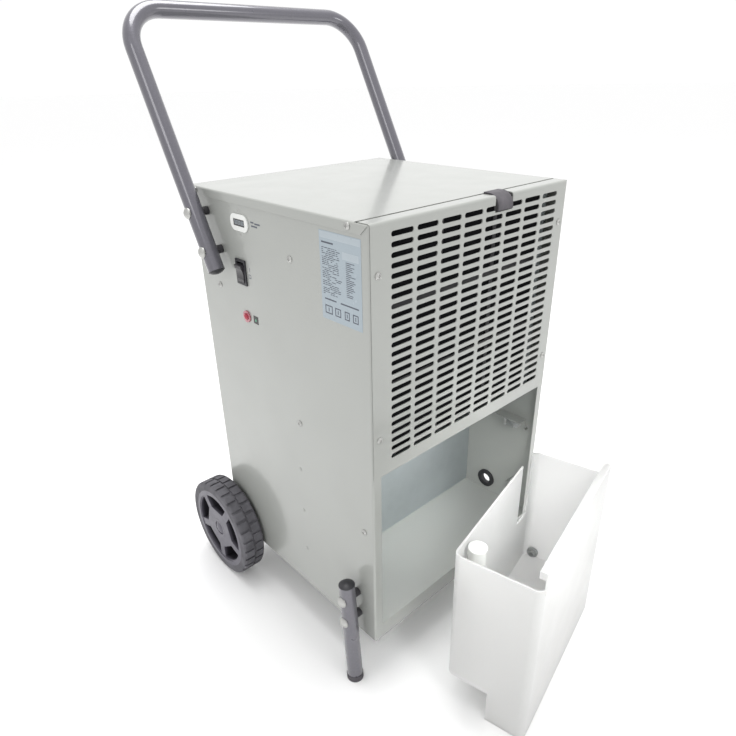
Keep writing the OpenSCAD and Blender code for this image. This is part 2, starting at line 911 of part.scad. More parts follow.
// Switch body with two ears and the pin that its lever turns on
module tank_switch_body() {
    color("lightgray") place() {
        slab(lever_x + 3, in_x - 2 * sheet, bracket_y + 8, lever_y, lever_z - 6.5,
            lever_z + 6.5);
        for (z = [lever_z - 6, lever_z + 4.5]) {
            slab(lever_x - 2.4, lever_x + 3 + eps, lever_y - 2.4, lever_y, z, z + 1.5);
            bar_z(2.4, z, z + 1.5, lever_x, lever_y);
        }
        bar_z(pin_r, lever_z - 5.5, lever_z + 5.5, lever_x, lever_y);
    }
}

// Spring strip on a pin, which the tank pushes towards the switch body
module tank_switch_lever() {
    color("silver") place() {
        difference() {
            union() {
                bar_z(2.4, lever_z - 4, lever_z + 4, lever_x, lever_y);
                translate([lever_x, lever_y, lever_z - 3]) rotate(-106)
                    translate([0, -0.4, 0]) cube([24, 0.8, 6]);
            }
            bar_z(pin_r + fit, lever_z - 5, lever_z + 5, lever_x, lever_y);
        }
    }
}

// ---------- Controls on the left panel ----------

module power_switch_housing() {
    y = switch_at.x;
    z = switch_at.y;
    hw = switch_w / 2;
    hh = switch_h / 2;
    color("black") place() difference() {
        union() {
            slab(-side_x - 2.5, -side_x - 0.05, y - hw, y + hw, z - hh, z + hh);
            slab(-side_x - 1, -side_x + 28, y - hw + 2.3, y + hw - 2.3, z - hh + 2.3,
                z + hh - 2.3);
        }
        slab(-side_x - 4, -side_x + 16, y - hw + 3.6, y + hw - 3.6, z - hh + 3.6,
            z + hh - 3.6);
    }
}

// Rocker that pivots on a pin along Y, pressed in at its lower half
module power_switch_rocker() {
    y = switch_at.x;
    z = switch_at.y;
    hw = switch_w / 2 - 4.1;
    press = 9;
    color("darkslategray") place() translate([-side_x + 6, 0, z]) rotate([0, -press, 0])
        along_y(y - hw, y + hw) {
            difference() {
                translate([-11.5, -13]) square([11.5, 26]);
                translate([-32, 0]) circle(22);
            }
            circle(5);
        }
}

module lamp_bezel() {
    color("black") place() difference() {
        union() {
            bar_x(lamp_r, -side_x - 2.2, -side_x - 0.05, lamp_at.x, lamp_at.y);
            bar_x(lamp_r - 2.3, -side_x - 1, -side_x + 24, lamp_at.x, lamp_at.y);
        }
        bar_x(lamp_r - 3.3, -side_x - 4, -side_x + 12, lamp_at.x, lamp_at.y);
    }
}

module lamp_lens() {
    color("red") place() translate([-side_x + 4, lamp_at.x, lamp_at.y])
        rotate([0, -90, 0]) intersection() {
            cylinder(r = lamp_r - 3.5, h = 9.5);
            translate([0, 0, 0.5]) sphere(9);
        }
}

module hour_meter_case() {
    y = meter_at.x;
    z = meter_at.y;
    hw = meter_window.x / 2;
    hh = meter_window.y / 2;
    color("white") place() difference() {
        union() {
            translate([0, y, z]) rotate([90, 0, -90]) translate([0, 0, side_x + 0.05])
                linear_extrude(1.8) round_rect(meter_bezel.x, meter_bezel.y, 11);
            slab(-side_x - 1, -side_x + 26, y - hw - 1.5, y + hw + 1.5, z - hh - 1.5,
                z + hh + 1.5);
        }
        slab(-side_x - 4, -side_x + 2, y - hw, y + hw, z - hh, z + hh);
    }
}

module hour_meter_window() {
    hw = meter_window.x / 2 - 0.1;
    hh = meter_window.y / 2 - 0.1;
    color("black") place() slab(-side_x - 1.2, -side_x + 1.9, meter_at.x - hw,
        meter_at.x + hw, meter_at.y - hh, meter_at.y + hh);
}

module rating_label() {
    color("lightblue") place() slab(-side_x - 0.25, -side_x - 0.02,
        label_at.x - label_size.x / 2, label_at.x + label_size.x / 2,
        label_at.y - label_size.y / 2, label_at.y + label_size.y / 2);
}

module symbol_plate() {
    half = 6;
    color("black") place() slab(-side_x - 0.4, -side_x - 0.02, symbol_at.x - half,
        symbol_at.x + half, symbol_at.y - half, symbol_at.y + half);
}

module panel_screws() {
    color("silver") place() {
        for (p = front_screws)
            translate([p.x, front_y - 0.02, p.y]) rotate([90, 0, 0]) pan_screw(9);
        for (p = rear_screws)
            translate([p.x, rear_y + 0.02, p.y]) rotate([-90, 0, 0]) pan_screw(9);
        both_sides() for (p = side_screws)
            translate([-side_x - 0.02, p.x, p.y]) rotate([0, -90, 0]) pan_screw(9);
        both_sides() for (p = lid_screws)
            translate([-side_x - lid_lip - eps - 0.02, p.x, p.y]) rotate([0, -90, 0])
                pan_screw(9);
    }
}

// ---------- Refrigeration and fan ----------

// Heights of a coil's straight tubes
function tube_rows() = [for (i = [0 : 7]) coil_z0 + 20 + i * 34];

// Fins of one coil: thin upright plates that the tubes pass through
module coil_fins(y) {
    difference() {
        for (x = [-coil_x : fin_step : coil_x])
            slab(x - fin_t / 2, x + fin_t / 2, y, y + coil_depth, coil_z0, coil_z1);
        for (z = tube_rows())
            bar_x(coil_tube_r + fit, -coil_x - 5, coil_x + 5, y + coil_depth / 2, z);
    }
}

// Serpentine tube of one coil
module coil_tubes(y) {
    rows = tube_rows();
    reach = coil_x + 10;
    mid = y + coil_depth / 2;
    bend = (rows[1] - rows[0]) / 2;
    for (z = rows) bar_x(coil_tube_r, -reach, reach, mid, z);
    for (i = [0 : len(rows) - 2]) {
        side = i % 2 == 0 ? 1 : -1;
        translate([side * reach, mid, rows[i] + bend]) rotate([90, 0, 0]) rotate(-90)
            mirror([0, side < 0 ? 1 : 0, 0])
                rotate_extrude(angle = 180) translate([bend, 0]) circle(coil_tube_r);
    }
}

module evaporator_fins() {
    color("silver") place() coil_fins(evap_y);
}

module evaporator_tubes() {
    color("peru") place() coil_tubes(evap_y);
}

module condenser_fins() {
    color("silver") place() coil_fins(cond_y);
}

module condenser_tubes() {
    color("peru") place() coil_tubes(cond_y);
}

// Open tray under the evaporator, with a spout that drains into the tank compartment
module drip_tray() {
    z0 = deck_z + sheet + eps;
    y0 = tray_y[0];
    y1 = tray_y[1];
    t = 2;
    color("gray") place() difference() {
        union() {
            slab(-coil_x - 15, coil_x + 15, y0, y1, z0, z0 + 18);
            bar_z(spout_r, deck_z - 22, z0 + 1, spout_x, (y0 + y1) / 2);
        }
        slab(-coil_x - 15 + t, coil_x + 15 - t, y0 + t, y1 - t, z0 + t, z0 + 20);
        bar_z(spout_r - 2.5, deck_z - 23, z0 + 5, spout_x, (y0 + y1) / 2);
    }
}

module fan_shroud() {
    ring = fan_r + 8;
    color("lightsteelblue") place() difference() {
        union() {
            slab(-in_x + 1, in_x - 1, shroud_y, shroud_y + sheet, deck_z + sheet + eps,
                cab_h - 2 * sheet);
            bar_y(ring + sheet, shroud_y, shroud_y + 22, 0, fan_z);
        }
        bar_y(ring, shroud_y - over, shroud_y + 24, 0, fan_z);
    }
}

module fan_blade() {
    hub_r = 27;
    color("dimgray") place() translate([0, shroud_y + 20, fan_z]) rotate([90, 0, 0])
        difference() {
            union() {
                translate([0, 0, -12]) cylinder(r = hub_r, h = 24);
                intersection() {
                    translate([0, 0, -14]) cylinder(r = fan_r, h = 28);
                    for (i = [0 : fan_blades - 1]) rotate(i * 360 / fan_blades)
                        rotate([28, 0, 0]) translate([hub_r - 4, -34, -1.2])
                            cube([fan_r, 68, 2.4]);
                }
            }
            translate([0, 0, -20]) cylinder(r = shaft_r + 0.02, h = 40);
        }
}

module motor_shaft() {
    color("silver") place() bar_y(shaft_r, shroud_y + 4, motor_y + 40, 0, fan_z);
}

// Motor with its end bells, bored for the shaft
module fan_motor() {
    color("gray") place() difference() {
        union() {
            bar_y(motor_r, motor_y + 8, motor_y + motor_l - 8, 0, fan_z);
            bar_y(motor_r - 10, motor_y, motor_y + motor_l, 0, fan_z);
        }
        bar_y(shaft_r + fit, motor_y - over, motor_y + 41, 0, fan_z);
    }
}

// Upright plate behind the motor that stands on the middle deck
module motor_bracket() {
    y0 = motor_y + motor_l + 0.05;
    z0 = deck_z + sheet + eps;
    t = 2.5;
    color("silver") place() {
        slab(-motor_r, motor_r, y0, y0 + t, z0, fan_z + 20);
        slab(-motor_r, motor_r, y0 + t, y0 + 34, z0, z0 + t);
    }
}

module compressor() {
    dome = 22;
    color("black") place() {
        bar_z(comp_r, comp_z0 + dome, comp_z1 - dome, comp_x, comp_y);
        for (end = [0, 1])
            translate([comp_x, comp_y, end == 1 ? comp_z1 - dome : comp_z0 + dome])
                mirror([0, 0, 1 - end]) intersection() {
                    cylinder(r = comp_r, h = dome);
                    translate([0, 0, -70.8]) sphere(92.8);
                }
        difference() {
            slab(comp_x - 75, comp_x + 75, comp_y - 62, comp_y + 62, comp_z0 - 4, comp_z0 - 1);
            for (sx = [-1, 1]) for (sy = [-1, 1])
                bar_z(6.2, comp_z0 - 6, comp_z0, comp_x + sx * comp_foot_x,
                    comp_y + sy * comp_foot_y);
        }
        bar_z(30, comp_z0 - 2, comp_z0 + 20, comp_x, comp_y);
        slab(comp_x - comp_r - 14, comp_x - comp_r + 10, comp_y - 20, comp_y + 20, 110, 165);
    }
}

module compressor_feet() {
    color("black") place() for (sx = [-1, 1]) for (sy = [-1, 1])
        translate([comp_x + sx * comp_foot_x, comp_y + sy * comp_foot_y, base_h]) {
            translate([0, 0, 0.05]) cylinder(r = 11, h = comp_z0 - 4.1 - base_h);
            cylinder(r = 6, h = comp_z0 + 2 - base_h);
            translate([0, 0, comp_z0 - 0.95 - base_h]) cylinder(r = 9, h = 3);
        }
}

// Discharge line, suction line with its accumulator, and liquid line with its drier
module refrigerant_pipes() {
    top = comp_z1 - 6;
    lift = deck_z + 60;
    color("peru") place() {
        tube_path([[comp_x + 20, comp_y, top], [comp_x + 20, comp_y, 250],
            [120, comp_y, 250], [120, 60, 250], [120, 60, lift]], pipe_r);
        tube_path([[comp_x + comp_r - 6, comp_y + 20, 90], [60, comp_y + 20, 90],
            [60, comp_y + 20, 100]], pipe_r);
        bar_z(22, 98, 210, 60, comp_y + 20);
        tube_path([[60, comp_y + 20, 208], [60, comp_y + 20, 230], [140, comp_y + 20, 230],
            [140, 60, 230], [140, 60, lift]], pipe_r);
        bar_z(11, 130, 215, 165, 60);
        tube_path([[165, 60, 213], [165, 60, 285]], 3);
    }
}

// Box behind the switch, the lamp and the hour meter
module control_box() {
    x1 = -side_x + 52;
    y0 = 28;
    y1 = 112;
    z0 = 436;
    z1 = 628;
    color("gray") place() difference() {
        slab(-in_x + eps, x1, y0, y1, z0, z1);
        slab(-in_x - over, x1 - 2, y0 + 2, y1 - 2, z0 + 2, z1 - 2);
    }
}

module run_capacitor() {
    color("white") place() {
        bar_z(17, base_h + 0.1, 110, 120, 150);
        bar_z(3, 108, 118, 114, 150);
        bar_z(3, 108, 118, 126, 150);
    }
}

// Gland for the supply lead in the rear panel
module cable_gland() {
    y = in_y - eps;
    color("black") place() difference() {
        union() {
            bar_y(7.8, y - 14, y + 4, -150, 70);
            translate([-150, y + 0.05, 70]) rotate([-90, 0, 0])
                cylinder(r = 13, h = 7, $fn = 6);
            bar_y(10, y + 7, y + 16, -150, 70);
            translate([-150, y - sheet - 0.05, 70]) rotate([90, 0, 0])
                cylinder(r = 12, h = 5, $fn = 6);
        }
        bar_y(4.5, y - 20, y + 20, -150, 70);
    }
}

base_pan();
side_panel_left();
side_panel_right();
rear_panel();
front_grille_panel();
top_cover();
compartment_back_wall();
mid_deck();
filter_guides();
filter_frame();
filter_mesh();
filter_pull_tab();
handle_tube();
tube_plugs();
frame_bolts();
frame_spacers();
frame_nuts();
front_legs();
leg_feet();
axle();
wheel_rim_left();
wheel_rim_right();
tyre_left();
tyre_right();
hub_cap_left();
hub_cap_right();
axle_washers();
tank_shell();
tank_drain_fitting();
tank_float();
float_guide();
hose_grommet();
switch_bracket();
tank_switch_body();
tank_switch_lever();
power_switch_housing();
power_switch_rocker();
lamp_bezel();
lamp_lens();
hour_meter_case();
hour_meter_window();
rating_label();
symbol_plate();
panel_screws();
evaporator_fins();
evaporator_tubes();
condenser_fins();
condenser_tubes();
drip_tray();
fan_shroud();
fan_blade();
motor_shaft();
fan_motor();
motor_bracket();
compressor();
compressor_feet();
refrigerant_pipes();
control_box();
run_capacitor();
cable_gland();
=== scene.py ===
"""The looks of a commercial dehumidifier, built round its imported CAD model."""

import json
import math
import random

import bmesh
import bpy
from mathutils import Matrix, Vector


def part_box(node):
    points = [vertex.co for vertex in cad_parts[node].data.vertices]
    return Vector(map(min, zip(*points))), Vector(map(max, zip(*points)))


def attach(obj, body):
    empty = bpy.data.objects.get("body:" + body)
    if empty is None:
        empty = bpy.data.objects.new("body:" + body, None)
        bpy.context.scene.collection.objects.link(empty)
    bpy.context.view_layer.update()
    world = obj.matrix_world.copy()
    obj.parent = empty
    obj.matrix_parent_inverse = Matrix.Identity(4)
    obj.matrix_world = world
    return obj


MM = 0.001

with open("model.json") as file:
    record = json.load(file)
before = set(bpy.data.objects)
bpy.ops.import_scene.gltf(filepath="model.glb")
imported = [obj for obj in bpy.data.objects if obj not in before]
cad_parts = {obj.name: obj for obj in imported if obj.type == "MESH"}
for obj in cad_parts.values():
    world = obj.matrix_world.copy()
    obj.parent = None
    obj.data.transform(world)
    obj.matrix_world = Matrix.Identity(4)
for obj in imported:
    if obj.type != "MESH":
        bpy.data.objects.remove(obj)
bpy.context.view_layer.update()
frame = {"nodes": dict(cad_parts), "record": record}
nodes = frame["nodes"]


# ---------- Shader helpers ----------


class Finish:
    """A new material, with the few node operations that the finishes below share."""

    def __init__(self, name, colour, roughness=0.5, metallic=0.0):
        self.material = bpy.data.materials.new(name)
        self.material.use_nodes = True
        self.tree = self.material.node_tree
        self.surface = self.tree.nodes["Principled BSDF"]
        self.place = self.node("ShaderNodeTexCoord").outputs["Object"]
        self.colour = colour
        self.set("Base Color", (*colour, 1))
        self.set("Roughness", roughness)
        self.set("Metallic", metallic)
        self.material.diffuse_color = (*colour, 1)

    def set(self, socket, value):
        self.surface.inputs[socket].default_value = value

    def join(self, output, socket):
        self.tree.links.new(output, self.surface.inputs[socket])

    def node(self, kind, links=(), **values):
        made = self.tree.nodes.new(kind)
        for name, value in values.items():
            made.inputs[name.replace("_", " ")].default_value = value
        for name, output in dict(links).items():
            self.tree.links.new(output, made.inputs[name])
        return made

    def noise(self, scale, detail=2.0, place=None):
        links = {"Vector": place or self.place}
        made = self.node("ShaderNodeTexNoise", links, Scale=scale, Detail=detail)
        return made.outputs["Fac"]

    def cells(self, scale, smooth=False):
        made = self.node("ShaderNodeTexVoronoi", {"Vector": self.place}, Scale=scale)
        if smooth:
            made.feature = "SMOOTH_F1"
        return made.outputs

    def stretched(self, x, y, z):
        """Object coordinates, scaled by a factor along each axis."""
        made = self.node("ShaderNodeMapping", {"Vector": self.place})
        made.inputs["Scale"].default_value = (x, y, z)
        return made.outputs["Vector"]

    def spread(self, factor, low, high, start=0.3, end=0.7):
        """Maps factor from start..end to low..high."""
        made = self.node("ShaderNodeMapRange", {"Value": factor})
        ends = {"From Min": start, "From Max": end, "To Min": low, "To Max": high}
        for name, value in ends.items():
            made.inputs[name].default_value = value
        return made.outputs["Result"]

    def times(self, a, b):
        made = self.node("ShaderNodeMath")
        made.operation = "MULTIPLY"
        self.tree.links.new(a, made.inputs[0])
        self.tree.links.new(b, made.inputs[1])
        return made.outputs["Value"]

    def blend(self, factor, first, second):
        """Mixes two colours, each three numbers or another node's output, by factor."""
        made = self.node("ShaderNodeMix")
        made.data_type = "RGBA"
        self.tree.links.new(factor, made.inputs["Factor"])
        for index, value in ((6, first), (7, second)):
            if isinstance(value, tuple):
                made.inputs[index].default_value = (*value, 1)
            else:
                self.tree.links.new(value, made.inputs[index])
        return made.outputs[2]

    def behind(self, face):
        """1 a few millimetres behind an outer face that stands at +-face along X, and 0 on it."""
        place = self.node("ShaderNodeSeparateXYZ", {"Vector": self.place})
        distance = self.node("ShaderNodeMath")
        distance.operation = "ABSOLUTE"
        self.tree.links.new(place.outputs["X"], distance.inputs[0])
        return self.spread(distance.outputs["Value"], 1, 0, face - 8 * MM, face - 2.5 * MM)

    def soft_edges(self, radius):
        """Normals that round every sharp edge."""
        made = self.node("ShaderNodeBevel", Radius=radius)
        made.samples = 4
        return made.outputs["Normal"]

    def edge_mask(self, rounded):
        """1 on an edge and 0 on a flat face, from the normals that soft_edges made."""
        true_normal = self.node("ShaderNodeNewGeometry").outputs["True Normal"]
        made = self.node("ShaderNodeVectorMath")
        made.operation = "DOT_PRODUCT"
        self.tree.links.new(rounded, made.inputs[0])
        self.tree.links.new(true_normal, made.inputs[1])
        return self.spread(made.outputs["Value"], 1, 0, 0.75, 0.98)

    def bump(self, height, depth, strength=1.0, normal=None):
        made = self.node("ShaderNodeBump", {"Height": height}, Strength=strength, Distance=depth)
        if normal:
            self.tree.links.new(normal, made.inputs["Normal"])
        return made.outputs["Normal"]


def shade(colour, factor):
    return tuple(min(1.0, c * factor) for c in colour)


# ---------- Finishes ----------


def powder_coat(name, colour, roughness=0.36):
    """Gloss powder coat: fine orange peel, faint clouding, and edges worn a little lighter."""
    f = Finish(name, colour, roughness)
    rounded = f.soft_edges(0.8 * MM)
    cloud = f.blend(f.noise(5, 4), shade(colour, 0.965), shade(colour, 1.025))
    wear = f.times(f.edge_mask(rounded), f.spread(f.noise(70, 4), 0, 0.5))
    f.join(f.blend(wear, cloud, shade(colour, 1.15)), "Base Color")
    f.join(f.spread(f.noise(14, 3), roughness - 0.05, roughness + 0.07), "Roughness")
    f.join(f.bump(f.noise(650, 1), 0.05 * MM, 0.5, rounded), "Normal")
    f.join(rounded, "Coat Normal")
    f.set("Coat Weight", 0.75)
    f.set("Coat Roughness", 0.12)
    f.set("Coat IOR", 1.5)
    return f.material


def hammered_paint(name, colour):
    """Hammered metal paint: shallow round dimples in a slightly metallic coat."""
    f = Finish(name, colour, 0.32, 0.3)
    dimples = f.cells(330, smooth=True)["Distance"]
    hollow = f.spread(dimples, 0, 1, 0.1, 0.5)
    f.join(f.blend(hollow, shade(colour, 1.07), shade(colour, 0.95)), "Base Color")
    f.join(f.spread(f.noise(40, 3), 0.27, 0.38), "Roughness")
    f.join(f.bump(dimples, 0.2 * MM, 0.22), "Normal")
    f.set("Coat Weight", 0.9)
    f.set("Coat Roughness", 0.1)
    f.set("Coat IOR", 1.75)
    return f.material


def galvanised(name, colour):
    """Galvanised sheet: faint spangles with a few scratches."""
    f = Finish(name, colour, 0.4, 0.55)
    spangle = f.cells(85)["Color"]
    rounded = f.soft_edges(0.5 * MM)
    tint = f.blend(f.spread(f.noise(9, 3), 0, 1), shade(colour, 0.92), shade(colour, 1.05))
    f.join(f.blend(f.spread(spangle, 0, 0.25, 0.2, 0.8), tint, shade(colour, 1.15)), "Base Color")
    f.join(f.spread(spangle, 0.34, 0.5, 0, 1), "Roughness")
    f.join(f.bump(f.noise(300, 2, f.stretched(0.05, 1, 1)), 0.05 * MM, 0.4, rounded), "Normal")
    return f.material


def plated(name, colour, roughness=0.28):
    """Bright zinc plate with fine turning marks."""
    f = Finish(name, colour, roughness, 1.0)
    f.join(f.blend(f.noise(120, 3), shade(colour, 0.8), shade(colour, 1.05)), "Base Color")
    f.join(f.spread(f.noise(260, 2), roughness - 0.06, roughness + 0.12), "Roughness")
    f.join(f.bump(f.noise(900, 1), 0.04 * MM, 0.4, f.soft_edges(0.4 * MM)), "Normal")
    return f.material


def moulded(name, colour, roughness=0.5, grain=900, face=None):
    """Moulded plastic with a fine spark-eroded grain, and painted shade in the hollows behind the
    outer face if given.
    """
    f = Finish(name, colour, roughness)
    rounded = f.soft_edges(0.6 * MM)
    wear = f.times(f.edge_mask(rounded), f.spread(f.noise(90, 4), 0, 0.6))
    tone = f.blend(f.noise(25, 4), shade(colour, 0.88), shade(colour, 1.1))
    base = f.blend(wear, tone, shade(colour, 1.7))
    if face:
        # Painted shade: darkens all that lies a few millimetres behind the outer face, such as the
        # wheel's pockets.
        base = f.blend(f.behind(face), base, shade(colour, 0.22))
    f.join(base, "Base Color")
    f.join(f.spread(f.noise(60, 3), roughness - 0.07, roughness + 0.08), "Roughness")
    f.join(f.bump(f.noise(grain, 2), 0.06 * MM, 0.6, rounded), "Normal")
    return f.material


def rubber(name, colour):
    """Matt rubber with dust in its pores."""
    f = Finish(name, colour, 0.78)
    dust = f.spread(f.noise(35, 5), 0, 0.6, 0.45, 0.75)
    f.join(f.blend(dust, colour, shade(colour, 2.1)), "Base Color")
    f.join(f.spread(f.noise(110, 3), 0.68, 0.88), "Roughness")
    f.join(f.bump(f.noise(700, 3), 0.12 * MM, 0.7, f.soft_edges(0.6 * MM)), "Normal")
    return f.material


def milky(name, colour):
    """Natural polyethylene: milky and translucent, with a faint flow pattern."""
    f = Finish(name, colour, 0.42)
    flow = f.noise(7, 3, f.stretched(1, 1, 0.35))
    f.join(f.blend(flow, shade(colour, 0.96), shade(colour, 1.03)), "Base Color")
    f.join(f.spread(f.noise(22, 3), 0.36, 0.5), "Roughness")
    f.join(f.bump(f.noise(260, 2), 0.05 * MM, 0.5, f.soft_edges(1.2 * MM)), "Normal")
    f.set("Subsurface Weight", 0.75)
    f.set("Subsurface Radius", (0.03, 0.03, 0.03))
    f.set("Subsurface Scale", 1.0)
    f.set("Transmission Weight", 0.2)
    f.set("IOR", 1.3)
    return f.material


def clear_lens(name, colour):
    """Tinted clear plastic with a fine mottled tone."""
    f = Finish(name, colour, 0.12)
    f.join(f.blend(f.noise(300, 2), shade(colour, 0.8), shade(colour, 1.3)), "Base Color")
    f.join(f.bump(f.noise(400, 1), 0.05 * MM, 0.3, f.soft_edges(0.5 * MM)), "Normal")
    f.set("Transmission Weight", 0.25)
    f.set("Coat Weight", 0.6)
    return f.material


def film(name, colour, roughness=0.22):
    """Printed plastic film that lies almost flat."""
    f = Finish(name, colour, roughness)
    f.join(f.blend(f.noise(18, 3), shade(colour, 0.95), shade(colour, 1.04)), "Base Color")
    f.join(f.spread(f.noise(50, 2), roughness - 0.04, roughness + 0.08), "Roughness")
    f.join(f.bump(f.noise(90, 2), 0.08 * MM, 0.3), "Normal")
    return f.material


def net(name, colour):
    """Fine woven net: two sets of threads that cross."""
    f = Finish(name, colour, 0.9)
    f.set("Specular IOR Level", 0.1)
    threads = []
    for direction in ("X", "Z"):
        wave = f.node("ShaderNodeTexWave", {"Vector": f.place}, Scale=130, Distortion=0.4)
        wave.bands_direction = direction
        threads.append(wave.outputs["Fac"])
    weave = f.times(*threads)
    f.join(f.blend(weave, shade(colour, 2.6), shade(colour, 0.25)), "Base Color")
    f.join(f.bump(weave, 0.3 * MM, 0.8), "Normal")
    return f.material


def drawn_metal(name, colour, roughness=0.3):
    """Bare drawn metal, with tarnish in patches."""
    f = Finish(name, colour, roughness, 0.9)
    f.join(f.blend(f.noise(30, 4), shade(colour, 0.7), shade(colour, 1.08)), "Base Color")
    f.join(f.spread(f.noise(45, 4), roughness - 0.05, roughness + 0.2), "Roughness")
    f.join(f.bump(f.noise(500, 2), 0.05 * MM, 0.4, f.soft_edges(0.3 * MM)), "Normal")
    return f.material


# The wheel rim's outer face; the wheel plastic behind it gets painted shade.
RIM_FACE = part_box("wheel_rim_right")[1].x

FINISHES = {
    "cabinet_paint": powder_coat("cabinet_powder_coat", (0.33, 0.34, 0.32)),
    "galvanised": galvanised("galvanised_sheet", (0.40, 0.44, 0.45)),
    "frame_paint": hammered_paint("frame_hammered_paint", (0.088, 0.084, 0.106)),
    "zinc": plated("zinc_plate", (0.5, 0.5, 0.485), 0.38),
    "black_plastic": moulded("black_plastic", (0.022, 0.022, 0.026), 0.42),
    "dark_grey_plastic": moulded("dark_grey_plastic", (0.028, 0.026, 0.030), 0.36),
    "wheel_plastic": moulded("wheel_plastic", (0.10, 0.095, 0.118), 0.4, 500, RIM_FACE),
    "tyre": rubber("tyre_rubber", (0.085, 0.083, 0.093)),
    "black_rubber": rubber("black_rubber", (0.02, 0.02, 0.022)),
    "grey_rubber": rubber("grey_rubber", (0.075, 0.07, 0.078)),
    "tank_plastic": milky("tank_polyethylene", (0.84, 0.84, 0.825)),
    "white_plastic": moulded("white_plastic", (0.74, 0.75, 0.73), 0.35),
    "light_grey_plastic": moulded("light_grey_plastic", (0.44, 0.45, 0.45), 0.4),
    "filter_net": net("filter_net", (0.005, 0.005, 0.006)),
    "red_lens": clear_lens("red_lens", (0.42, 0.01, 0.04)),
    "meter_window": film("meter_window", (0.012, 0.012, 0.014), 0.1),
    "label_film": film("label_film", (0.33, 0.385, 0.425)),
    "symbol_film": film("symbol_film", (0.012, 0.012, 0.012)),
    "fin_aluminium": drawn_metal("fin_aluminium", (0.78, 0.79, 0.80)),
    "copper_pipe": drawn_metal("copper_pipe", (0.72, 0.36, 0.22)),
    "compressor_paint": powder_coat("compressor_paint", (0.012, 0.012, 0.013), 0.3),
    "print_dark": film("print_dark", (0.06, 0.07, 0.095), 0.3),
    "print_light": film("print_light", (0.38, 0.43, 0.465), 0.3),
    "print_green": film("print_green", (0.10, 0.36, 0.22), 0.3),
    "lamp_rim": clear_lens("lamp_rim", (0.52, 0.16, 0.20)),
}


def paint_cad_nodes():
    """Gives each CAD node the finish of its material slot, but the lamp's bezel a red one."""
    for part in frame["record"]["subparts"]:
        shown = nodes[part["node"]]
        shown.data.materials.clear()
        shown.data.materials.append(FINISHES[part["material_slot"]])
    nodes["lamp_bezel"].data.materials[0] = FINISHES["lamp_rim"]


# ---------- Small pieces on the left panel ----------


def make_piece(name, mesh, finish, body):
    """Puts a bmesh into the scene as a piece that rides on a CAD body."""
    data = bpy.data.meshes.new(name)
    mesh.to_mesh(data)
    mesh.free()
    data.materials.append(FINISHES[finish])
    piece = bpy.data.objects.new(name, data)
    bpy.context.scene.collection.objects.link(piece)
    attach(piece, body)
    return piece


def add_bar(mesh, low, high):
    """Adds a box between two corners."""
    size = [h - l for l, h in zip(low, high)]
    middle = [(h + l) / 2 for l, h in zip(low, high)]
    place = Matrix.Translation(middle) @ Matrix.Diagonal((*size, 1))
    bmesh.ops.create_cube(mesh, size=1, matrix=place)


class Print:
    """Raised print on a plate that faces -X, placed in millimetres from its upper left corner."""

    def __init__(self, plate, thick=0.08 * MM):
        self.low, self.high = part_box(plate)
        self.thick = thick
        self.mesh = bmesh.new()

    def bar(self, left, top, width, height):
        y = self.high.y - left * MM
        z = self.high.z - top * MM
        x = self.low.x
        add_bar(self.mesh, (x - self.thick, y - width * MM, z - height * MM), (x + 0.01 * MM, y, z))

    def ring(self, left, top, width, height, line=0.7):
        """A square outline."""
        self.bar(left, top, width, line)
        self.bar(left, top + height - line, width, line)
        self.bar(left, top + line, line, height - 2 * line)
        self.bar(left + width - line, top + line, line, height - 2 * line)


def print_label():
    """Rows of plain bars in two columns under a heading band, and a row of empty boxes."""
    rng = random.Random(7)
    dark = Print("rating_label")
    dark.bar(4, 13, 22, 2)
    for row in range(26):
        top = 20 + 2.3 * row
        left = 4
        while left < 34:
            width = rng.uniform(2, 8)
            if rng.random() < 0.75:
                dark.bar(left, top, width, 0.9)
            left += width + 1.2
        if 4 < row < 24:
            dark.bar(48, top, rng.uniform(5, 17), 0.9)
    dark.bar(6, 84, 22, 1.8)
    dark.bar(36, 84, 33, 1.8)
    for left, width in ((6, 14), (25, 11), (43, 9), (58, 10)):
        dark.ring(left, 93, width, 11, 1.4)
        dark.bar(left + width / 2 - 0.7, 96, 1.4, 5)
    make_piece("label_print", dark.mesh, "print_dark", "cabinet")
    light = Print("rating_label", 0.05 * MM)
    light.bar(1.2, 1.2, 72.6, 8)
    light.bar(42, 20, 29, 9)
    make_piece("label_heading", light.mesh, "print_light", "cabinet")


def print_panel_marks():
    """Three short lines beside the hour meter, and two marks beside the power switch."""
    meter_low, meter_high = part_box("hour_meter_window")
    switch_low, switch_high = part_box("power_switch_housing")
    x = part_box("side_panel_left")[0].x
    mesh = bmesh.new()

    def mark(y, z, width, height):
        add_bar(mesh, (x - 0.06 * MM, y - width * MM, z - height * MM), (x + 0.01 * MM, y, z))

    y, z = meter_low.y - 14 * MM, meter_high.z + 1 * MM
    for left, top, width in ((0, 0, 8), (10, 1, 13), (1, 5, 15)):
        mark(y - left * MM, z - top * MM, width, 2.2)
    y = switch_low.y - 8 * MM
    z = (switch_low.z + switch_high.z) / 2 + 10 * MM
    mark(y, z, 1.2, 6)
    for dy, dz, width, height in ((-3, 10, 6, 1), (-3, 15, 6, 1), (-3, 11, 1, 4), (-8, 11, 1, 4)):
        mark(y + (dy + 6) * MM, z - dz * MM, width, height)
    make_piece("panel_marks", mesh, "print_dark", "cabinet")


def print_meter_digits():
    """The outlines of six number wheels in the hour meter's window, without any figures."""
    face = Print("hour_meter_window", 0.05 * MM)
    width = (face.high.y - face.low.y) / MM
    height = (face.high.z - face.low.z) / MM
    pitch = (width - 3) / 6
    for i in range(6):
        left = 1.5 + i * pitch + 0.7
        face.ring(left, 2.2, pitch - 1.6, height - 4.4, 0.6)
    make_piece("meter_digits", face.mesh, "print_light", "cabinet")


